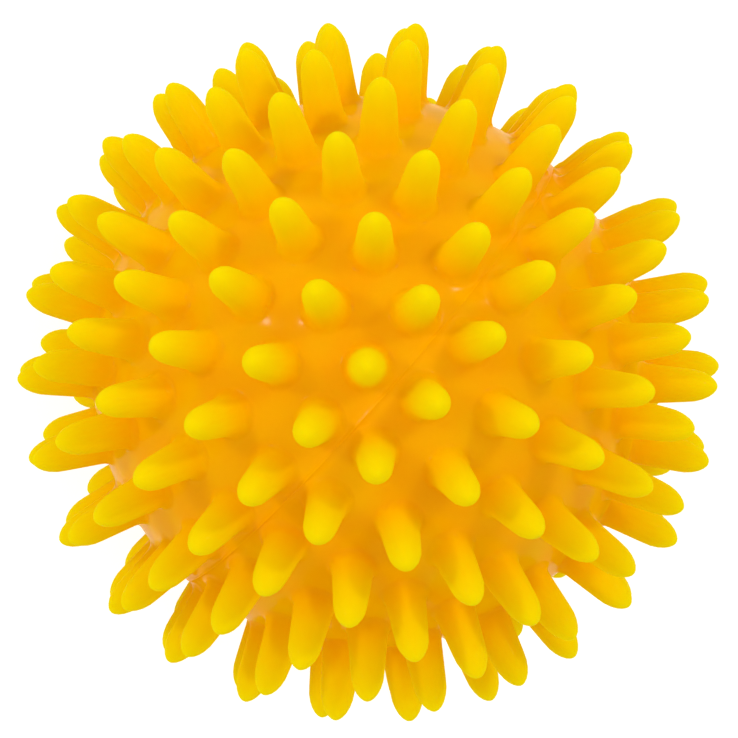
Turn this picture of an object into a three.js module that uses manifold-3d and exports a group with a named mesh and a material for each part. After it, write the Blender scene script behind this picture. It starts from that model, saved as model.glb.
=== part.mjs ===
// Spiky massage ball: two moulded half shells with spikes, joined at a lapped seam, and a plugged air valve.
// Millimetres, +Z up. The origin is the ball's centre. The mould axis, square to the seam, is X.

import * as THREE from 'three';
import { mergeVertices } from 'three/addons/utils/BufferGeometryUtils.js';
import Module from 'manifold-3d';

// Shell
const SKIN_RADIUS = 31.3;
const WALL = 2.2;
const TONGUE_LENGTH = 2.0;
const TONGUE_THICKNESS = 0.9;
const LAP_CLEARANCE = 0.3;

// Spike: a straight taper from the skin to the shoulder, then a rounded nose
const SPIKE_LENGTH = 8.7;
const SPIKE_ROOT_RADIUS = 2.6;
const SPIKE_SHOULDER_RADIUS = 1.85;
const SPIKE_NOSE_LENGTH = 2.3;

// Spike rings from the seam to the pole: how many spikes, and the longitude of the first in degrees.
// The rings are evenly spaced in latitude, with a step in degrees, and a single spike stands at the pole.
const FIRST_RING_LATITUDE = 6.1;
const RING_STEP = 13.86;
const PLAIN_RINGS = [
  { count: 25, start: 0.5 },
  { count: 23, start: 4.2 },
  { count: 20, start: 12.6 },
  { count: 18, start: 17.0 },
  { count: 12, start: 9.0 },
  { count: 6, start: 10.0 },
];
const VALVE_RINGS = [
  { count: 25, start: 3.3 },
  { count: 23, start: 11.2 },
  { count: 20, start: 16.5 },
  { count: 17, start: 2.5 },
  { count: 12, start: 8.0 },
  { count: 6, start: -2.0 },
];

// Air valve, in the place of one spike of the valve half: its ring, and its number in that ring
const VALVE_RING = 2;
const VALVE_PLACE = 6;
const PLUG_HEAD_RADIUS = 2.2;
const PLUG_HEAD_THICKNESS = 1.5;
const PLUG_STEM_RADIUS = 1.1;
const PLUG_STEM_LENGTH = 8.0;
const PLUG_STEM_TAPER = 1.2;
const PLUG_CLEARANCE = 0.3;
const SEAT_RIM = 1.2;
const SEAT_CLEARANCE = 0.3;
const SEAT_FLANGE_OVERLAP = 1.8;
const SEAT_FLANGE_THICKNESS = 1.4;
const SEAT_TUBE_WALL = 1.4;
const SEAT_TUBE_LENGTH = 5.0;
const LANDING_MARGIN = 0.8;

// Facets round each kind of piece
const SKIN_SIDES = 28;
const SKIN_STEPS = 7;
const CAVITY_SIDES = 24;
const SPIKE_SIDES = 6;
const NOSE_STEPS = 2;
const NOSE_STEP_POWER = 0.7;
const VALVE_SIDES = 20;

// Sizes that follow from the ones above
const CAVITY_RADIUS = SKIN_RADIUS - WALL;
const TONGUE_RADIUS = CAVITY_RADIUS + TONGUE_THICKNESS;
const TIP_RADIUS = SKIN_RADIUS + SPIKE_LENGTH;
const RECESS_RADIUS = PLUG_HEAD_RADIUS + PLUG_CLEARANCE;
const RECESS_DEPTH = PLUG_HEAD_THICKNESS + PLUG_CLEARANCE;
const SEAT_BORE_RADIUS = PLUG_STEM_RADIUS + PLUG_CLEARANCE;
const SEAT_RADIUS = RECESS_RADIUS + SEAT_RIM;
const SEAT_HOLE_RADIUS = SEAT_RADIUS + SEAT_CLEARANCE;
const SEAT_FLANGE_RADIUS = SEAT_HOLE_RADIUS + SEAT_FLANGE_OVERLAP;
const LANDING_RADIUS = SEAT_FLANGE_RADIUS + LANDING_MARGIN;

const wasm = await Module();
wasm.setup();

// A closed three.js geometry as a solid that can be joined and cut
function solidOf(geometry) {
  const bare = geometry.clone();
  bare.deleteAttribute('normal');
  bare.deleteAttribute('uv');
  const merged = mergeVertices(bare);
  const vertProperties = new Float32Array(merged.attributes.position.array);
  const triVerts = new Uint32Array(merged.index.array);
  return new wasm.Manifold(new wasm.Mesh({ numProp: 3, vertProperties, triVerts }));
}

// A solid back as a three.js geometry
function geometryOf(solid) {
  const mesh = solid.getMesh();
  const geometry = new THREE.BufferGeometry();
  geometry.setAttribute('position', new THREE.BufferAttribute(mesh.vertProperties, 3));
  geometry.setIndex(new THREE.BufferAttribute(mesh.triVerts, 1));
  geometry.computeVertexNormals();
  return geometry;
}

// A profile of [radius, height] points turned about +Y
function turned(profile, sides) {
  return new THREE.LatheGeometry(profile.map(([r, y]) => new THREE.Vector2(r, y)), sides);
}

// The same, turned about +X by swapping axes, which keeps flat faces exactly flat
function turnedAboutX(profile, sides) {
  const swap = new THREE.Matrix4().set(0, 1, 0, 0, 0, 0, 1, 0, 1, 0, 0, 0, 0, 0, 0, 1);
  return turned(profile, sides).applyMatrix4(swap);
}

// A direction from the ball's centre. Latitude is up the mould axis, longitude from +Z towards -Y.
function directionAt(latitude, longitude) {
  const lat = THREE.MathUtils.degToRad(latitude);
  const lon = THREE.MathUtils.degToRad(longitude);
  return new THREE.Vector3(
    Math.sin(lat),
    -Math.cos(lat) * Math.sin(lon),
    Math.cos(lat) * Math.cos(lon),
  );
}

// The turn that carries +Y to a direction
function turnTo(direction) {
  return new THREE.Quaternion().setFromUnitVectors(new THREE.Vector3(0, 1, 0), direction);
}

function ringLatitude(index) {
  return FIRST_RING_LATITUDE + index * RING_STEP;
}

function ringLongitude(ring, place) {
  return ring.start + (place * 360) / ring.count;
}

// One spike along +Y, from half way through the wall to its tip.
// Its corners stand out a little, so that the few-sided section has the area of the round one.
function spikeGeometry() {
  const sector = (2 * Math.PI) / SPIKE_SIDES;
  const corner = Math.sqrt(sector / Math.sin(sector));
  const shoulder = TIP_RADIUS - SPIKE_NOSE_LENGTH;
  const taper = (SPIKE_ROOT_RADIUS - SPIKE_SHOULDER_RADIUS) / (shoulder - SKIN_RADIUS);
  const base = SKIN_RADIUS - WALL / 2;
  const profile = [[0, base], [SPIKE_ROOT_RADIUS + taper * (SKIN_RADIUS - base), base]];
  for (let step = 0; step <= NOSE_STEPS; step += 1) {
    // The nose is a paraboloid: its radius goes with the root of the depth below the tip
    const depth = 1 - (step / NOSE_STEPS) ** NOSE_STEP_POWER;
    profile.push([SPIKE_SHOULDER_RADIUS * Math.sqrt(depth), TIP_RADIUS - SPIKE_NOSE_LENGTH * depth]);
  }
  return turned(profile.map(([r, y]) => [r * corner, y]), SPIKE_SIDES);
}

// Every spike direction of one half. side is 1 for the half at +X and -1 for the half at -X.
function spikeDirections(rings, side) {
  const directions = [directionAt(side * 90, 0)];
  rings.forEach((ring, index) => {
    for (let place = 0; place < ring.count; place += 1) {
      directions.push(directionAt(side * ringLatitude(index), ringLongitude(ring, place)));
    }
  });
  return directions;
}

// A solid half ball about +X, or about -X with side -1
function halfBall(radius, side) {
  const profile = [[0, 0], [radius, 0]];
  for (let step = 1; step <= SKIN_STEPS; step += 1) {
    const angle = (step / SKIN_STEPS) * (Math.PI / 2);
    profile.push([step === SKIN_STEPS ? 0 : radius * Math.cos(angle), radius * Math.sin(angle)]);
  }
  const solid = solidOf(turnedAboutX(profile, SKIN_SIDES));
  return side > 0 ? solid : solid.mirror([1, 0, 0]);
}

// A disc about the mould axis between two places along it
function disc(radius, from, to) {
  return solidOf(turnedAboutX([[0, from], [radius, from], [radius, to], [0, to]], SKIN_SIDES));
}

// One half of the ball, still solid inside: skin and spikes, ending at the seam plane
function spikedHalf(directions, side) {
  const spike = solidOf(spikeGeometry());
  const spikes = directions.map((direction) => {
    const place = new THREE.Matrix4().makeRotationFromQuaternion(turnTo(direction));
    return spike.transform(place.elements);
  });
  const reach = TIP_RADIUS + SPIKE_ROOT_RADIUS;
  return wasm.Manifold.union([halfBall(SKIN_RADIUS, side), ...spikes]).intersect(halfBall(reach, side));
}

function cavity() {
  return solidOf(new THREE.SphereGeometry(CAVITY_RADIUS, CAVITY_SIDES, CAVITY_SIDES / 2));
}

// The half at +X. Its tongue reaches past the seam into the other half.
function plainHalfShell() {
  const body = spikedHalf(spikeDirections(PLAIN_RINGS, 1), 1);
  return body.add(disc(TONGUE_RADIUS, -TONGUE_LENGTH, TONGUE_LENGTH)).subtract(cavity());
}

const valveDirection = directionAt(
  -ringLatitude(VALVE_RING),
  ringLongitude(VALVE_RINGS[VALVE_RING], VALVE_PLACE),
);

// Valve heights are distances from the ball's centre along the valve's axis
const seatTop = Math.sqrt(SKIN_RADIUS ** 2 - SEAT_HOLE_RADIUS ** 2);
const landing = Math.sqrt(CAVITY_RADIUS ** 2 - LANDING_RADIUS ** 2);

// A round bar along the valve's axis
function valveBar(radius, from, to) {
  const bar = turned([[0, from], [radius, from], [radius, to], [0, to]], VALVE_SIDES);
  return solidOf(bar.applyQuaternion(turnTo(valveDirection)));
}

// The half at -X, rebated for the tongue. In the place of one spike it has the valve's hole,
// with a flat landing round it inside the wall.
function valveHalfShell() {
  const sameDirection = 0.01;
  const directions = spikeDirections(VALVE_RINGS, -1);
  const spikes = directions.filter((direction) => direction.angleTo(valveDirection) > sameDirection);
  const body = spikedHalf(spikes, -1);
  const rebate = disc(TONGUE_RADIUS + LAP_CLEARANCE, -TONGUE_LENGTH - LAP_CLEARANCE, TONGUE_LENGTH);
  const hole = valveBar(SEAT_HOLE_RADIUS, 0, TIP_RADIUS);
  const pad = valveBar(LANDING_RADIUS, landing, CAVITY_RADIUS);
  return body.subtract(cavity()).subtract(rebate).add(pad).subtract(hole);
}

// A flanged tube whose flange lies under the landing and whose top has a recess for the plug's head
function seatGeometry() {
  const recessFloor = seatTop - RECESS_DEPTH;
  const flangeTop = landing - SEAT_CLEARANCE;
  const flangeBottom = flangeTop - SEAT_FLANGE_THICKNESS;
  const tubeRadius = SEAT_BORE_RADIUS + SEAT_TUBE_WALL;
  const tubeBottom = flangeBottom - SEAT_TUBE_LENGTH;
  const profile = [
    [SEAT_BORE_RADIUS, tubeBottom],
    [tubeRadius, tubeBottom],
    [tubeRadius, flangeBottom],
    [SEAT_FLANGE_RADIUS, flangeBottom],
    [SEAT_FLANGE_RADIUS, flangeTop],
    [SEAT_RADIUS, flangeTop],
    [SEAT_RADIUS, seatTop],
    [RECESS_RADIUS, seatTop],
    [RECESS_RADIUS, recessFloor],
    [SEAT_BORE_RADIUS, recessFloor],
    [SEAT_BORE_RADIUS, tubeBottom],
  ];
  return turned(profile, VALVE_SIDES);
}

// A flat-headed stopper, its head level with the top of the seat
function plugGeometry() {
  const headBottom = seatTop - PLUG_HEAD_THICKNESS;
  const stemBottom = headBottom - PLUG_STEM_LENGTH;
  const profile = [
    [0, stemBottom],
    [PLUG_STEM_RADIUS / 2, stemBottom],
    [PLUG_STEM_RADIUS, stemBottom + PLUG_STEM_TAPER],
    [PLUG_STEM_RADIUS, headBottom],
    [PLUG_HEAD_RADIUS, headBottom],
    [PLUG_HEAD_RADIUS, seatTop],
    [0, seatTop],
  ];
  return turned(profile, VALVE_SIDES);
}

function namedMesh(name, geometry, color, roughness) {
  const mesh = new THREE.Mesh(geometry, new THREE.MeshStandardMaterial({ color, roughness, metalness: 0 }));
  mesh.name = name;
  return mesh;
}

const SHELL_YELLOW = 0xf2b905;
const SHELL_ROUGHNESS = 0.42;
const VALVE_AMBER = 0xe8a200;
const VALVE_ROUGHNESS = 0.5;

const ball = new THREE.Group();
ball.add(namedMesh('plain_half_shell', geometryOf(plainHalfShell()), SHELL_YELLOW, SHELL_ROUGHNESS));
ball.add(namedMesh('valve_half_shell', geometryOf(valveHalfShell()), SHELL_YELLOW, SHELL_ROUGHNESS));

const valve = new THREE.Group();
valve.quaternion.copy(turnTo(valveDirection));
valve.add(namedMesh('valve_seat', seatGeometry(), VALVE_AMBER, VALVE_ROUGHNESS));
valve.add(namedMesh('valve_plug', plugGeometry(), VALVE_AMBER, VALVE_ROUGHNESS));
ball.add(valve);

export default ball;
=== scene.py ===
# %% [markdown]
# # A spiky massage ball
# The real ball is a hollow shell of soft PVC, 80 mm over its spike tips. It is moulded as two halves,
# each with its spikes on, and the halves are welded along a seam. A small stopper on the far side lets
# air in and out. This lesson loads the ball's solids as a fixed frame, builds a finer surface in their
# place, and gives it a finish. Loading comes first, because every size below is measured in that frame.

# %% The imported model
from math import cos, pi, radians, sin, sqrt

import bmesh
import bpy
import numpy as np
from mathutils import Matrix, Vector
from mathutils.geometry import delaunay_2d_cdt


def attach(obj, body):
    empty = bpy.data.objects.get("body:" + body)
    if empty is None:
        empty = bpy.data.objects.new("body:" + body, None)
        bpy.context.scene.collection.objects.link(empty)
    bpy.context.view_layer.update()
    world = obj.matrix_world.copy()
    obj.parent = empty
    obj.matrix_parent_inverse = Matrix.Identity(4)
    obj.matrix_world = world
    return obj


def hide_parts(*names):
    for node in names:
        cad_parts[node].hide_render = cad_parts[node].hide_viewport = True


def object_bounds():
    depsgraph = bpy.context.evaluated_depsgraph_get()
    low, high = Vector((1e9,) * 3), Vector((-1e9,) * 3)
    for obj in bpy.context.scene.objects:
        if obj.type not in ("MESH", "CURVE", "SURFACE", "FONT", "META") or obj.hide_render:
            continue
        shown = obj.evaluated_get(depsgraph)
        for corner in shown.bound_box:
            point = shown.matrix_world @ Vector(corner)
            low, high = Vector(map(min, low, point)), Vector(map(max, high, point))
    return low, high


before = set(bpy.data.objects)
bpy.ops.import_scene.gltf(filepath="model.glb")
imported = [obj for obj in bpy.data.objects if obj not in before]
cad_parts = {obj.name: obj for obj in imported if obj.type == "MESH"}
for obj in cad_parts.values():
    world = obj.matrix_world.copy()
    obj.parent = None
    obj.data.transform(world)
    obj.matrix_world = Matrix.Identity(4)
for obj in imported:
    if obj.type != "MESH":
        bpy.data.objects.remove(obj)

MM = 0.001


def in_mm(box):
    """The corners of a box in millimetres, rounded for printing."""
    return [[round(value / MM, 2) for value in corner] for corner in box]


cad_box = [list(corner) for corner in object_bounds()]
print("solids:", ", ".join(sorted(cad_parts)))
print("box in mm:", in_mm(cad_box))

# %% [markdown]
# ## The camera
# The photograph was taken from some way off with a long lens, so the spikes at the rim look nearly as
# large as those in the middle. The mould axis, which is X here, points to the picture's upper left and
# leans a little to the camera. A camera could be aimed by hand, but two angles say all of that, and the
# camera's three axes follow from them, so each angle can be tuned alone against the picture.

# %% Camera
PICTURE_PX = 738
PX_PER_MM = 8.79
BALL_CENTRE_PX = (368.5, 371.8)
CAMERA_DISTANCE = 560 * MM
POLE_TO_CAMERA = radians(5.4)
POLE_FROM_RIGHT = radians(138.65)

mould_axis = Vector((1, 0, 0))
to_camera = Vector((sin(POLE_TO_CAMERA), 0, cos(POLE_TO_CAMERA)))
pole_seen = (mould_axis - to_camera * mould_axis.dot(to_camera)).normalized()
pole_side = to_camera.cross(pole_seen)
picture_right = cos(POLE_FROM_RIGHT) * pole_seen - sin(POLE_FROM_RIGHT) * pole_side
picture_up = sin(POLE_FROM_RIGHT) * pole_seen + cos(POLE_FROM_RIGHT) * pole_side

lens = bpy.data.cameras.new("long_lens")
lens.sensor_fit = "HORIZONTAL"
lens.lens = lens.sensor_width * CAMERA_DISTANCE / (PICTURE_PX / PX_PER_MM * MM)
lens.shift_x = 0.5 - BALL_CENTRE_PX[0] / PICTURE_PX
lens.shift_y = BALL_CENTRE_PX[1] / PICTURE_PX - 0.5
camera = bpy.data.objects.new("camera", lens)
camera.matrix_world = Matrix((picture_right, picture_up, to_camera)).transposed().to_4x4()
camera.location = to_camera * CAMERA_DISTANCE
bpy.context.collection.objects.link(camera)
bpy.context.scene.camera = camera
print("focal length in mm:", round(lens.lens))

# %% [markdown]
# ## Where the spikes stand
# On the real ball the spikes stand in rings about the mould axis, evenly spaced from the seam to a
# single spike at each pole. Each ring has its own count and starts at its own longitude, so neighbouring
# rings fall in and out of step, which is what makes the pattern look scattered. A random scatter would
# be quicker, but it would put no spike where the photograph has one. The counts and starts were read off
# the photograph, and one place in the third ring of the far half is left free for the valve.

# %% Spike directions
# The ball's own sizes are plain millimetres, which turn to metres where a mesh or a node is made.
SKIN_RADIUS = 31.3
TIP_RADIUS = cad_box[1][0] / MM
FIRST_RING_LATITUDE = 6.1
RING_STEP = 13.86
# The count of each ring and its start in degrees, from the seam to the pole.
PLAIN_RINGS = [(25, 0.5), (23, 4.2), (20, 12.6), (18, 17.0), (12, 9.0), (6, 10.0)]
VALVE_RINGS = [(25, 3.3), (23, 11.2), (20, 16.5), (17, 2.5), (12, 8.0), (6, -2.0)]
VALVE_RING = 2
VALVE_PLACE = 6
# Two directions whose dot product is larger than this are the same place.
SAME_PLACE = 0.999


def direction_at(latitude, longitude):
    """A direction from the centre. Degrees: latitude up the mould axis, longitude from +Z towards -Y."""
    lat = radians(latitude)
    lon = radians(longitude)
    return Vector((sin(lat), -cos(lat) * sin(lon), cos(lat) * cos(lon)))


def ring_spot(rings, side, ring, place):
    """The direction of one place in one ring. side is 1 for the half at +X, -1 for the half at -X."""
    count, start = rings[ring]
    return direction_at(side * (FIRST_RING_LATITUDE + ring * RING_STEP), start + place * 360 / count)


def spike_spots(rings, side):
    """The directions of all the places of one half, its pole first."""
    spots = [direction_at(side * 90, 0)]
    for ring, (count, _) in enumerate(rings):
        spots += [ring_spot(rings, side, ring, place) for place in range(count)]
    return spots


valve_spot = ring_spot(VALVE_RINGS, -1, VALVE_RING, VALVE_PLACE)
plain_spots = spike_spots(PLAIN_RINGS, 1)
valve_spots = [spot for spot in spike_spots(VALVE_RINGS, -1) if spot.dot(valve_spot) < SAME_PLACE]
print("spikes:", len(plain_spots), "and", len(valve_spots))

# %% [markdown]
# ## The outline of one spike
# A spike has to pull straight out of its mould, so it tapers all the way: a rounded nose, then a shank
# that widens by a twelfth of a millimetre for each millimetre down, then a flare into the skin. The tip
# has the small dished mark of the mould's air vent. A subdivided cone would give a softer shape that is
# hard to measure. A list of radius and height points, made by these rules and turned round the spike's
# own axis, keeps every size in plain sight.

# %% Spike outline
NOSE_RADIUS = 1.62
NOSE_LENGTH = 3.0
# A power of 2 would make the nose half an ellipse. A little less makes it slightly more pointed.
NOSE_POWER = 1.9
TAPER = 0.08
FLARE_HEIGHT = 1.3
FLARE_RADIUS = 3.1
VENT_DEPTH = 0.06
SIDE_STEPS = 9
SIDE_CROWDING = 1.9
FLARE_STEPS = 4


def spike_radius(depth):
    """The radius of a spike at a depth below its tip, all in millimetres."""
    above_shank = max(0, 1 - depth / NOSE_LENGTH)
    return NOSE_RADIUS * (1 - above_shank ** NOSE_POWER) ** (1 / NOSE_POWER) + TAPER * depth


def spike_outline():
    """Points of radius and height from the tip, where they crowd, to the flare's rim on the skin."""
    outline = [(0, TIP_RADIUS - VENT_DEPTH)]
    side_end = TIP_RADIUS - SKIN_RADIUS - FLARE_HEIGHT
    for step in range(SIDE_STEPS + 1):
        depth = VENT_DEPTH / 2 + side_end * (step / SIDE_STEPS) ** SIDE_CROWDING
        outline.append((spike_radius(depth), TIP_RADIUS - depth))
    start_radius, start_height = outline[-1]
    end_height = sqrt(SKIN_RADIUS ** 2 - FLARE_RADIUS ** 2)
    for step in range(1, FLARE_STEPS + 1):
        angle = step / FLARE_STEPS * pi / 2
        outline.append((
            start_radius + (FLARE_RADIUS - start_radius) * (1 - cos(angle)),
            start_height + (end_height - start_height) * sin(angle),
        ))
    return outline


half_depth = (TIP_RADIUS - SKIN_RADIUS) / 2
print("points down one spike:", len(spike_outline()))
print("spike width in mm at half its height:", round(2 * spike_radius(half_depth), 2))

# %% [markdown]
# ## Turned shapes
# Spikes, seam, seat and stopper all have a straight axis of their own on the real ball, so all of them
# can be turned from an outline. Blender's Screw modifier turns outlines too. Here the points are needed
# by number, because the skin has to join on to each spike's last ring, so a small function turns the
# outline and hands back the numbers of its rings.

# %% Turning an outline
def bridge(faces, ring, other):
    """Joins two rings of points, either of which may be a single point."""
    count = max(len(ring), len(other))
    for here in range(count):
        there = (here + 1) % count
        corners = [
            ring[here % len(ring)],
            ring[there % len(ring)],
            other[there % len(other)],
            other[here % len(other)],
        ]
        faces.append(list(dict.fromkeys(corners)))


def add_turned(points, faces, outline, direction, around):
    """Turns an outline of (radius, height) about a direction. Returns its rings, first to last."""
    turn = Vector((0, 0, 1)).rotation_difference(direction).to_matrix()
    rings = []
    for radius, height in outline:
        angles = [2 * pi * step / around for step in range(around)] if radius else [0]
        rings.append(list(range(len(points), len(points) + len(angles))))
        for angle in angles:
            points.append(turn @ Vector((radius * cos(angle), radius * sin(angle), height)))
    for ring, other in zip(rings, rings[1:]):
        bridge(faces, ring, other)
    return rings


SPIKE_POINTS = 18
pole_faces = []
add_turned([], pole_faces, spike_outline(), mould_axis, SPIKE_POINTS)
print("faces on one spike:", len(pole_faces))

# %% [markdown]
# ## The skin between the spikes
# The real skin is one smooth sphere with a spike every eight millimetres or so. A boolean join of two
# hundred spikes to a sphere would also work, but it leaves ragged slivers round every foot. Instead the
# half sphere is flattened on to a plane as a map is. There its points are joined into the most even
# triangles, no triangle is kept inside a spike's ring, and the rest is lifted back on to the sphere.

# %% Sheets with holes
SAME_POINT_ON_MAP = 1e-9


def scattered(radius, side, spacing, holes):
    """Evenly scattered points on a half sphere, half a spacing clear of its edge and its holes."""
    count = int(2 * pi * radius ** 2 / spacing ** 2)
    number = np.arange(count) + 0.5
    along = number / count
    # Each point is turned on from the one before it by the golden angle, which never repeats.
    angle = number * pi * (3 - sqrt(5))
    across = np.sqrt(1 - along ** 2)
    spots = np.column_stack((side * along, across * np.cos(angle), across * np.sin(angle)))
    clear = along * radius > spacing / 2
    for direction, hole_radius, _ in holes:
        reach = np.arccos(np.clip(spots @ np.array(direction), -1, 1)) * radius
        clear &= reach > hole_radius + spacing / 2
    return [Vector(spot) * radius for spot in spots[clear]]


def add_sheet(points, faces, radius, side, edge, holes, spacing):
    """A half sphere from the ring of points called edge, open inside each hole's ring of points."""
    numbers = list(edge)
    for _, _, ring in holes:
        numbers += ring
    extra = scattered(radius, side, spacing, holes)
    numbers += range(len(points), len(points) + len(extra))
    points += extra
    flat = [Vector((points[n].y, points[n].z)) / (radius + side * points[n].x) for n in numbers]
    _, _, triangles, sources, _, _ = delaunay_2d_cdt(flat, [], [], 0, SAME_POINT_ON_MAP)
    inside = {n: index for index, (_, _, ring) in enumerate(holes) for n in ring}
    for triangle in triangles:
        corners = [numbers[sources[corner][0]] for corner in triangle]
        owners = {inside.get(corner, -1) for corner in corners}
        if len(owners) > 1 or -1 in owners:
            faces.append(corners)


SKIN_SPACING = 1.2
print("points on a bare half skin:", len(scattered(SKIN_RADIUS, 1, SKIN_SPACING, [])))

# %% [markdown]
# ## The two halves
# Each half is one closed shell: the skin with a hole for every spike, the spikes that fill those holes,
# a flat face at the seam and a plain dome inside. Where the two halves meet, the weld leaves a fine
# raised bead, half of it on each. The far half also has a round mouth with a low lip for the valve. A
# Solidify modifier could give the wall its thickness, but it would hollow out the spikes too, and they
# are solid.

# %% Half shells
WALL = 2.2
BEAD_HALF_WIDTH = 0.16
BEAD_HEIGHT = 0.1
BEAD_SHOULDER_HALF_WIDTH = 0.6 * BEAD_HALF_WIDTH
BEAD_SHOULDER_HEIGHT = 0.7 * BEAD_HEIGHT
SEAM_POINTS = 160
DOME_SPACING = 4.0
HOLE_RADIUS = 4.0
HOLE_LIP_RADIUS = 4.5
HOLE_LIP_HEIGHT = 0.2
HOLE_LIP_BEVEL = 0.12
VALVE_POINTS = 40
SHELL_CREASE = 60


def finished_piece(name, points, faces, crease):
    """Makes an object from points in millimetres, faces out, smooth up to a crease angle in degrees."""
    mesh = bpy.data.meshes.new(name)
    mesh.from_pydata([point * MM for point in points], [], faces)
    shape = bmesh.new()
    shape.from_mesh(mesh)
    bmesh.ops.recalc_face_normals(shape, faces=shape.faces)
    open_edges = sum(len(edge.link_faces) != 2 for edge in shape.edges)
    shape.to_mesh(mesh)
    shape.free()
    mesh.polygons.foreach_set("use_smooth", [True] * len(mesh.polygons))
    mesh.set_sharp_from_angle(angle=radians(crease))
    piece = bpy.data.objects.new(name, mesh)
    bpy.context.collection.objects.link(piece)
    print(name, "faces:", len(mesh.polygons), "open edges:", open_edges)
    return piece


def valve_mouth():
    """The outline of the valve's mouth: up its lip, over it and down through the wall."""
    lip_foot = sqrt(SKIN_RADIUS ** 2 - HOLE_LIP_RADIUS ** 2)
    lip_top = lip_foot + HOLE_LIP_HEIGHT
    return [
        (HOLE_LIP_RADIUS, lip_foot),
        (HOLE_LIP_RADIUS - HOLE_LIP_BEVEL, lip_top),
        (HOLE_RADIUS + HOLE_LIP_BEVEL, lip_top),
        (HOLE_RADIUS, lip_top - HOLE_LIP_BEVEL),
        (HOLE_RADIUS, sqrt((SKIN_RADIUS - WALL) ** 2 - HOLE_RADIUS ** 2)),
    ]


def half_shell(name, side, spots, hole_spot):
    """One closed half with a spike at each spot, and the valve's mouth at hole_spot unless it is None."""
    points = []
    faces = []
    skin_holes = []
    dome_holes = []
    dome_radius = SKIN_RADIUS - WALL
    for spot in spots:
        rings = add_turned(points, faces, spike_outline(), spot, SPIKE_POINTS)
        skin_holes.append((spot, FLARE_RADIUS, rings[-1]))
    if hole_spot is not None:
        rings = add_turned(points, faces, valve_mouth(), hole_spot, VALVE_POINTS)
        skin_holes.append((hole_spot, HOLE_LIP_RADIUS, rings[0]))
        dome_holes.append((hole_spot, HOLE_RADIUS, rings[-1]))
    seam_outline = [
        (sqrt(SKIN_RADIUS ** 2 - BEAD_HALF_WIDTH ** 2), BEAD_HALF_WIDTH),
        (SKIN_RADIUS + BEAD_SHOULDER_HEIGHT, BEAD_SHOULDER_HALF_WIDTH),
        (SKIN_RADIUS + BEAD_HEIGHT, 0),
        (dome_radius, 0),
    ]
    seam = add_turned(points, faces, seam_outline, side * mould_axis, SEAM_POINTS)
    add_sheet(points, faces, SKIN_RADIUS, side, seam[0], skin_holes, SKIN_SPACING)
    add_sheet(points, faces, dome_radius, side, seam[-1], dome_holes, DOME_SPACING)
    return finished_piece(name, points, faces, SHELL_CREASE)


plain_half = half_shell("plain_half", 1, plain_spots, None)
valve_half = half_shell("valve_half", -1, valve_spots, valve_spot)

# %% [markdown]
# ## The valve seat
# The seat is a flanged sleeve of PVC that goes through the wall from inside. Air pressure pushes its
# flange against the wall, and its tube reaches into the ball. It is a turned shape, so an outline with
# small rounded corners is enough. The sizes repeat those of the solids, so the stopper still slides
# clear of the seat.

# %% Valve seat
STOPPER_HEAD_RADIUS = 2.2
STOPPER_HEAD_THICKNESS = 1.5
STOPPER_STEM_RADIUS = 1.1
FIT_GAP = 0.3
SEAT_RIM = 1.2
SEAT_FLANGE_RADIUS = 5.8
SEAT_FLANGE_THICKNESS = 1.4
SEAT_TUBE_RADIUS = 2.8
SEAT_TUBE_LENGTH = 5.0
LANDING_RADIUS = 6.6
CORNER = 0.25
# How far the middle of a rounded corner lies in from each of its two sides.
CORNER_MIDDLE = 0.3 * CORNER
VALVE_CREASE = 40


def turned_piece(name, outline, closed):
    """A piece turned about the valve's axis. A closed outline also joins its last ring to its first."""
    points = []
    faces = []
    rings = add_turned(points, faces, outline, valve_spot, VALVE_POINTS)
    if closed:
        bridge(faces, rings[-1], rings[0])
    return finished_piece(name, points, faces, VALVE_CREASE)


seat_top = sqrt(SKIN_RADIUS ** 2 - HOLE_RADIUS ** 2)
flange_top = sqrt((SKIN_RADIUS - WALL) ** 2 - LANDING_RADIUS ** 2) - FIT_GAP
flange_bottom = flange_top - SEAT_FLANGE_THICKNESS
tube_bottom = flange_bottom - SEAT_TUBE_LENGTH
recess_radius = STOPPER_HEAD_RADIUS + FIT_GAP
recess_floor = seat_top - STOPPER_HEAD_THICKNESS - FIT_GAP
rim_radius = recess_radius + SEAT_RIM
bore_radius = STOPPER_STEM_RADIUS + FIT_GAP
seat = turned_piece("valve_sleeve", [
    (bore_radius, tube_bottom),
    (SEAT_TUBE_RADIUS, tube_bottom),
    (SEAT_TUBE_RADIUS, flange_bottom),
    (SEAT_FLANGE_RADIUS - CORNER, flange_bottom),
    (SEAT_FLANGE_RADIUS, flange_bottom + CORNER),
    (SEAT_FLANGE_RADIUS, flange_top),
    (rim_radius, flange_top),
    (rim_radius, seat_top - CORNER),
    (rim_radius - CORNER_MIDDLE, seat_top - CORNER_MIDDLE),
    (rim_radius - CORNER, seat_top),
    (recess_radius + CORNER / 2, seat_top),
    (recess_radius, seat_top - CORNER / 2),
    (recess_radius, recess_floor),
    (bore_radius, recess_floor),
], closed=True)

# %% [markdown]
# ## The stopper
# The stopper is a flat-headed peg whose stem closes the seat's bore. Its head lies level with the
# seat's rim, and a shallow dish in it gives a fingernail or a pin something to catch. It is turned in
# the same way as the seat, from an outline that starts and ends on the axis, so it is closed without
# help.

# %% Stopper
STOPPER_STEM_LENGTH = 8.0
STOPPER_TAPER = 1.2
DISH_EDGE = 0.75
DISH_FLOOR = 0.68

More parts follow.
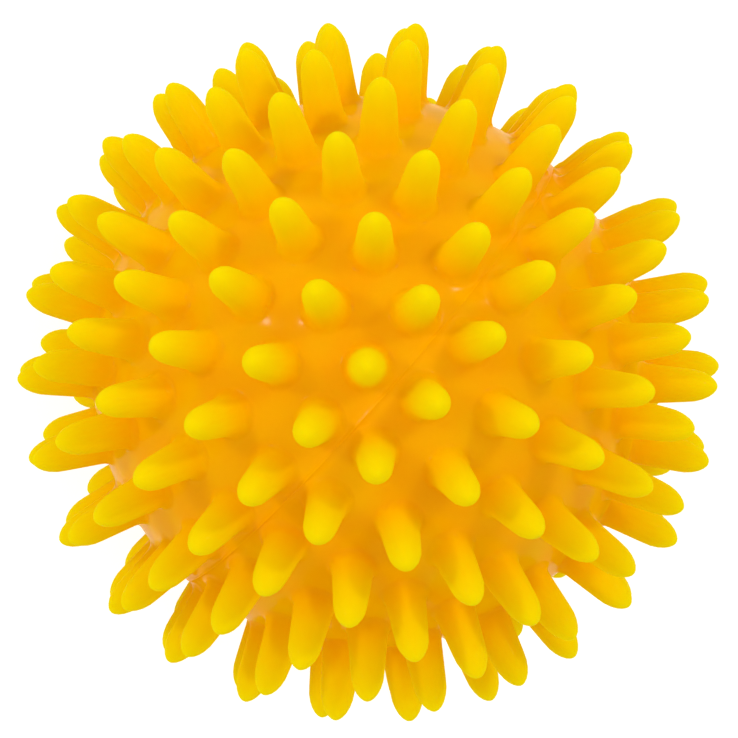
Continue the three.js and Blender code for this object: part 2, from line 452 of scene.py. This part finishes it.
head_bottom = seat_top - STOPPER_HEAD_THICKNESS
stem_bottom = head_bottom - STOPPER_STEM_LENGTH
stopper = turned_piece("stopper", [
    (0, stem_bottom),
    (STOPPER_STEM_RADIUS / 2, stem_bottom),
    (STOPPER_STEM_RADIUS, stem_bottom + STOPPER_TAPER),
    (STOPPER_STEM_RADIUS, head_bottom),
    (STOPPER_HEAD_RADIUS, head_bottom),
    (STOPPER_HEAD_RADIUS, seat_top - CORNER),
    (STOPPER_HEAD_RADIUS - CORNER_MIDDLE, seat_top - CORNER_MIDDLE),
    (STOPPER_HEAD_RADIUS - CORNER, seat_top),
    (DISH_EDGE * STOPPER_HEAD_RADIUS, seat_top),
    (DISH_FLOOR * STOPPER_HEAD_RADIUS, seat_top - CORNER),
    (0, seat_top - CORNER),
], closed=False)

# %% [markdown]
# ## Colours and nodes
# Colours are easiest to compare with a picture as hex values, but light adds up in linear numbers, so
# one function turns the first into the second. A node editor would do for one material. In a script, one
# small function that adds a node with its settings and links keeps each material readable from top to
# bottom.

# %% Colour and node helpers
def linear(hex_colour):
    """An sRGB hex colour as linear red, green, blue and alpha."""
    channels = [int(hex_colour[start:start + 2], 16) / 255 for start in (1, 3, 5)]
    return [c / 12.92 if c <= 0.04045 else ((c + 0.055) / 1.055) ** 2.4 for c in channels] + [1]


def add_node(tree, kind, settings, links):
    """Adds a node with settings and links. Inputs go by name, or by number where names repeat."""
    node = tree.nodes.new(kind)
    for name, value in settings.items():
        if isinstance(name, int) or name in node.inputs:
            node.inputs[name].default_value = value
        else:
            setattr(node, name, value)
    for name, source in links.items():
        tree.links.new(source, node.inputs[name])
    return node


def new_material(name):
    """An empty material and its node tree."""
    material = bpy.data.materials.new(name)
    material.use_nodes = True
    material.node_tree.nodes.clear()
    return material, material.node_tree


print("middle grey in linear numbers:", [round(channel, 3) for channel in linear("#808080")[:3]])

# %% [markdown]
# ## Soft PVC: colour
# Soft PVC is coloured right through and lets light a little way in. The thin spikes look yellow, while
# the deep skin, lit mostly by light that has already met its neighbours, looks amber. Part of that comes
# from the light by itself. The rest is painted shade: a ramp by height up the spike darkens the colour
# to amber towards the skin, in any light. Clouds in the pigment, a few millimetres wide, shift the ramp a
# little so that no two spikes are quite alike. Vertex colours could carry this too, but a ramp is one
# place to tune.

# %% Soft PVC, moulded: colour and painted shade
# Painted shade: the two amber stops darken the yellow PVC towards the spikes' feet and the skin, where
# shade falls between the spikes.
PAINTED_SHADE_AMBER = "#F8AA00"
PAINTED_SHADE_FOOT_AMBER = "#F7BC00"
MID_YELLOW = "#F2CA02"
TIP_YELLOW = "#EACC02"
# Stops and shifts of the ramp are shares of a spike's height.
FOOT_STOP = 0.12
MID_STOP = 0.5
CLOUD_LOWEST_SHIFT = -0.1
CLOUD_HIGHEST_SHIFT = 0.14
CLOUD_WIDTH = 7 * MM
CLOUD_DETAIL = 2

shell_pvc, shell_tree = new_material("soft_pvc_moulded")
shell_place = add_node(shell_tree, "ShaderNodeTexCoord", {}, {}).outputs["Object"]
from_centre = add_node(shell_tree, "ShaderNodeVectorMath", {
    "operation": "LENGTH",
}, {"Vector": shell_place}).outputs["Value"]
up_spike = add_node(shell_tree, "ShaderNodeMapRange", {
    "From Min": SKIN_RADIUS * MM,
    "From Max": TIP_RADIUS * MM,
}, {"Value": from_centre}).outputs["Result"]
shell_cloud = add_node(shell_tree, "ShaderNodeTexNoise", {
    "Scale": 1 / CLOUD_WIDTH,
    "Detail": CLOUD_DETAIL,
}, {"Vector": shell_place}).outputs["Fac"]
cloud_shift = add_node(shell_tree, "ShaderNodeMapRange", {
    "To Min": CLOUD_LOWEST_SHIFT,
    "To Max": CLOUD_HIGHEST_SHIFT,
}, {"Value": shell_cloud}).outputs["Result"]
shade = add_node(shell_tree, "ShaderNodeMath", {"operation": "ADD"}, {0: up_spike, 1: cloud_shift})
# This ramp paints the shade between the spikes into the colour, amber low down and yellow at the tips.
painted_shade_ramp = add_node(shell_tree, "ShaderNodeValToRGB", {}, {"Fac": shade.outputs["Value"]})
painted_shade_ramp.color_ramp.elements[0].color = linear(PAINTED_SHADE_AMBER)
painted_shade_ramp.color_ramp.elements[1].color = linear(TIP_YELLOW)
painted_shade_ramp.color_ramp.elements.new(FOOT_STOP).color = linear(PAINTED_SHADE_FOOT_AMBER)
painted_shade_ramp.color_ramp.elements.new(MID_STOP).color = linear(MID_YELLOW)
print("colour stops:", [round(stop.position, 2) for stop in painted_shade_ramp.color_ramp.elements])

# %% [markdown]
# ## Soft PVC: surface
# The moulded spikes are satin, and the skin between them has a thin gloss, which shows as small glints
# and as a pale sheen where the skin turns away at the rim. A bare Principled surface can make either,
# but one that is strong enough for the glints turns white at the rim. A thin coat scales both together,
# so the gloss is a coat that fades out up the spikes, over a base with hardly any sheen of its own.
#
# Light that walks inside one half can't cross into the other, so with the full glow the seam would show
# as a black line. The glow therefore fades out within a few millimetres of the weld.

# %% Soft PVC, moulded: surface
PVC_IOR = 1.53
WARM_SHEEN = "#FFDC88"
SHELL_SPECULAR = 0.004
SKIN_GLOSS = 0.05
SPIKE_GLOSS = 0.01
SHELL_COAT_ROUGHNESS = 0.1
SKIN_ROUGHNESS = 0.22
SPIKE_ROUGHNESS = 0.6
# The shares of a spike's height over which the skin's gloss and smoothness turn into the spike's.
GLOSS_FADE = 0.2
ROUGHNESS_FADE = 0.25
GLOW = 0.6
WELD_EDGE = 0.2 * MM
WELD_REACH = 2.5 * MM
# How far red, green and blue light walk inside, as shares of the reach.
SHELL_WALK = (1.0, 0.7, 0.08)
SHELL_WALK_REACH = 3 * MM
# The mould's own grain is about 0.1 mm wide, too fine to show here, so it is drawn five times as wide.
GRAIN_WIDTH = 0.5 * MM
GRAIN_DEPTH = 0.012 * MM
GRAIN_DETAIL = 3
SHELL_GRAIN_STRENGTH = 0.5

roughness = add_node(shell_tree, "ShaderNodeMapRange", {
    "From Max": ROUGHNESS_FADE,
    "To Min": SKIN_ROUGHNESS,
    "To Max": SPIKE_ROUGHNESS,
}, {"Value": up_spike}).outputs["Result"]
gloss = add_node(shell_tree, "ShaderNodeMapRange", {
    "From Max": GLOSS_FADE,
    "To Min": SKIN_GLOSS,
    "To Max": SPIKE_GLOSS,
}, {"Value": up_spike}).outputs["Result"]
along_axis = add_node(shell_tree, "ShaderNodeSeparateXYZ", {}, {"Vector": shell_place}).outputs["X"]
from_seam = add_node(shell_tree, "ShaderNodeMath", {"operation": "ABSOLUTE"}, {0: along_axis})
glow = add_node(shell_tree, "ShaderNodeMapRange", {
    "From Min": WELD_EDGE,
    "From Max": WELD_REACH,
    "To Max": GLOW,
}, {"Value": from_seam.outputs["Value"]}).outputs["Result"]
shell_grain = add_node(shell_tree, "ShaderNodeTexNoise", {
    "Scale": 1 / GRAIN_WIDTH,
    "Detail": GRAIN_DETAIL,
}, {"Vector": shell_place}).outputs["Fac"]
shell_bump = add_node(shell_tree, "ShaderNodeBump", {
    "Strength": SHELL_GRAIN_STRENGTH,
    "Distance": GRAIN_DEPTH,
}, {"Height": shell_grain}).outputs["Normal"]
# Soft PVC, moulded: warm and translucent to the eye, satin on the spikes, with a thin gloss on the skin.
shell_surface = add_node(shell_tree, "ShaderNodeBsdfPrincipled", {
    "IOR": PVC_IOR,
    "Specular IOR Level": SHELL_SPECULAR,
    "Specular Tint": linear(WARM_SHEEN),
    "Coat Roughness": SHELL_COAT_ROUGHNESS,
    "Subsurface Radius": SHELL_WALK,
    "Subsurface Scale": SHELL_WALK_REACH,
}, {
    "Base Color": painted_shade_ramp.outputs["Color"],
    "Roughness": roughness,
    "Normal": shell_bump,
    "Coat Weight": gloss,
    "Subsurface Weight": glow,
}).outputs["BSDF"]
add_node(shell_tree, "ShaderNodeOutputMaterial", {}, {"Surface": shell_surface})
for piece in (plain_half, valve_half):
    piece.data.materials.append(shell_pvc)
print("nodes in", shell_pvc.name + ":", len(shell_tree.nodes))

# %% [markdown]
# ## Valve PVC
# A valve is moulded apart from the shell, in a smoother tool and a deeper amber, because it has to seal.
# The shell's material would paint it by its distance from the centre, which means nothing on a valve, so
# it gets one of its own, with the same clouds of pigment at a smaller size.

# %% Valve PVC, moulded
VALVE_AMBER = "#EA9800"
VALVE_CLOUD_AMBER = "#F3AE02"
VALVE_CLOUD_WIDTH = 2 * MM
VALVE_SMOOTHEST = 0.3
VALVE_ROUGHEST = 0.42
VALVE_GRAIN_STRENGTH = 0.3
VALVE_SPECULAR = 0.01
VALVE_COAT_ROUGHNESS = 0.2
VALVE_GLOW = 0.3
VALVE_WALK = (1.0, 0.5, 0.08)
VALVE_WALK_REACH = 2 * MM

valve_pvc, valve_tree = new_material("valve_pvc_moulded")
valve_place = add_node(valve_tree, "ShaderNodeTexCoord", {}, {}).outputs["Object"]
valve_cloud = add_node(valve_tree, "ShaderNodeTexNoise", {
    "Scale": 1 / VALVE_CLOUD_WIDTH,
    "Detail": CLOUD_DETAIL,
}, {"Vector": valve_place}).outputs["Fac"]
valve_ramp = add_node(valve_tree, "ShaderNodeValToRGB", {}, {"Fac": valve_cloud})
valve_ramp.color_ramp.elements[0].color = linear(VALVE_AMBER)
valve_ramp.color_ramp.elements[1].color = linear(VALVE_CLOUD_AMBER)
valve_roughness = add_node(valve_tree, "ShaderNodeMapRange", {
    "To Min": VALVE_SMOOTHEST,
    "To Max": VALVE_ROUGHEST,
}, {"Value": valve_cloud}).outputs["Result"]
valve_grain = add_node(valve_tree, "ShaderNodeTexNoise", {
    "Scale": 1 / GRAIN_WIDTH,
    "Detail": GRAIN_DETAIL,
}, {"Vector": valve_place}).outputs["Fac"]
valve_bump = add_node(valve_tree, "ShaderNodeBump", {
    "Strength": VALVE_GRAIN_STRENGTH,
    "Distance": GRAIN_DEPTH,
}, {"Height": valve_grain}).outputs["Normal"]
# Soft PVC from a smooth tool: an even, slightly shiny amber.
valve_surface = add_node(valve_tree, "ShaderNodeBsdfPrincipled", {
    "IOR": PVC_IOR,
    "Specular IOR Level": VALVE_SPECULAR,
    "Specular Tint": linear(WARM_SHEEN),
    "Coat Weight": SKIN_GLOSS,
    "Coat Roughness": VALVE_COAT_ROUGHNESS,
    "Subsurface Weight": VALVE_GLOW,
    "Subsurface Radius": VALVE_WALK,
    "Subsurface Scale": VALVE_WALK_REACH,
}, {
    "Base Color": valve_ramp.outputs["Color"],
    "Roughness": valve_roughness,
    "Normal": valve_bump,
}).outputs["BSDF"]
add_node(valve_tree, "ShaderNodeOutputMaterial", {}, {"Surface": valve_surface})
for piece in (seat, stopper):
    piece.data.materials.append(valve_pvc)
print("nodes in", valve_pvc.name + ":", len(valve_tree.nodes))

# %% [markdown]
# ## What each piece rides on
# The two halves and the seat stay together as one ball, and the stopper is a body of its own that can
# be pulled out. Parenting by hand would also work. Here a small function parents each piece to an empty
# for its body, and the solid that the piece stands for is hidden.

# %% Bodies
for piece, body, node, slot in (
    (plain_half, "ball", "plain_half_shell", "soft_pvc"),
    (valve_half, "ball", "valve_half_shell", "soft_pvc"),
    (seat, "ball", "valve_seat", "valve_pvc"),
    (stopper, "plug", "valve_plug", "valve_pvc"),
):
    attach(piece, body)
    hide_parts(node)
    print(piece.name, "rides on", body)

# %% [markdown]
# ## The floor
# The ball lies on a pale sheet of paper that is also the white background. Paper under soft light comes
# out a little grey, and more light would wash out the ball. So the sheet gives some extra white to rays
# from the camera, from a mirror or through clear stuff, and none to the rays that light the ball. The
# ball's shadow stays on it.

# %% Floor
FLOOR_HALF_WIDTH = 3.0
FLOOR_PALE = "#F2F2F0"
FLOOR_LIFT = 0.4


def shown_directly(tree):
    """1 on rays from the camera, a mirror or clear stuff, and 0 on the rays that light other things."""
    rays = add_node(tree, "ShaderNodeLightPath", {}, {}).outputs
    total = rays["Is Camera Ray"]
    for ray in ("Is Glossy Ray", "Is Transmission Ray"):
        either = add_node(tree, "ShaderNodeMath", {"operation": "MAXIMUM"}, {0: total, 1: rays[ray]})
        total = either.outputs["Value"]
    return total


# Uncoated paper: matt and even, so all that shows on it is the shadow.
pale_paper, paper_tree = new_material("pale_paper_uncoated")
paper = add_node(paper_tree, "ShaderNodeBsdfDiffuse", {"Color": linear(FLOOR_PALE)}, {}).outputs["BSDF"]
lift = add_node(paper_tree, "ShaderNodeMath", {
    "operation": "MULTIPLY",
    1: FLOOR_LIFT,
}, {0: shown_directly(paper_tree)}).outputs["Value"]
extra_white = add_node(paper_tree, "ShaderNodeEmission", {}, {"Strength": lift}).outputs["Emission"]
lifted_paper = add_node(paper_tree, "ShaderNodeAddShader", {}, {0: paper, 1: extra_white})
add_node(paper_tree, "ShaderNodeOutputMaterial", {}, {"Surface": lifted_paper.outputs["Shader"]})

floor_level = cad_box[0][2]
floor_corners = [(-1, -1), (1, -1), (1, 1), (-1, 1)]
floor_points = [(x * FLOOR_HALF_WIDTH, y * FLOOR_HALF_WIDTH, floor_level) for x, y in floor_corners]
floor_mesh = bpy.data.meshes.new("floor")
floor_mesh.from_pydata(floor_points, [], [(0, 1, 2, 3)])
floor_mesh.materials.append(pale_paper)
floor = bpy.data.objects.new("floor", floor_mesh)
bpy.context.collection.objects.link(floor)
print("floor at", round(floor_level / MM, 2), "mm")

# %% [markdown]
# ## The light
# The photograph shows hardly any shadow, only a few glints on the skin: one group to the left of the
# middle and one to the right, both a little above it. So a white sky does most of the lighting, and two
# small soft boxes stand where those glints say they stood. Lamps alone could light the ball as well,
# but then every spike would throw a shadow on its neighbour.

# %% Lamps and sky
LAMP_DISTANCE = 1.1
LAMP_WIDTH = 0.085
LAMP_WATTS = 1.9
# The way to each lamp: how far to the picture's right, how far up it and how far towards the camera.
RIGHT_BOX_WAY = (0.57, 0.38, 0.73)
LEFT_BOX_WAY = (-0.6, 0.23, 0.77)
# The sky lights the ball at the first level, and shows to the camera as white, at the second.
SKY_LEVEL = 0.87
SHOWN_SKY_LEVEL = 1.0


def soft_box(name, way):
    """A square lamp that stands along a way from the ball's centre and faces it."""
    right, up, near = way
    direction = right * picture_right + up * picture_up + near * to_camera
    lamp = bpy.data.lights.new(name, "AREA")
    lamp.energy = LAMP_WATTS
    lamp.size = LAMP_WIDTH
    lamp_object = bpy.data.objects.new(name, lamp)
    lamp_object.rotation_euler = direction.to_track_quat("Z", "Y").to_euler()
    lamp_object.location = direction.normalized() * LAMP_DISTANCE
    bpy.context.collection.objects.link(lamp_object)


soft_box("right_box", RIGHT_BOX_WAY)
soft_box("left_box", LEFT_BOX_WAY)

sky = bpy.data.worlds.new("white_sky")
sky.use_nodes = True
sky_tree = sky.node_tree
sky_tree.nodes.clear()
sky_level = add_node(sky_tree, "ShaderNodeMapRange", {
    "To Min": SKY_LEVEL,
    "To Max": SHOWN_SKY_LEVEL,
}, {"Value": shown_directly(sky_tree)}).outputs["Result"]
white = add_node(sky_tree, "ShaderNodeBackground", {"Color": (1, 1, 1, 1)}, {"Strength": sky_level})
add_node(sky_tree, "ShaderNodeOutputWorld", {}, {"Surface": white.outputs["Background"]})
bpy.context.scene.world = sky
bpy.context.scene.view_settings.view_transform = "Standard"
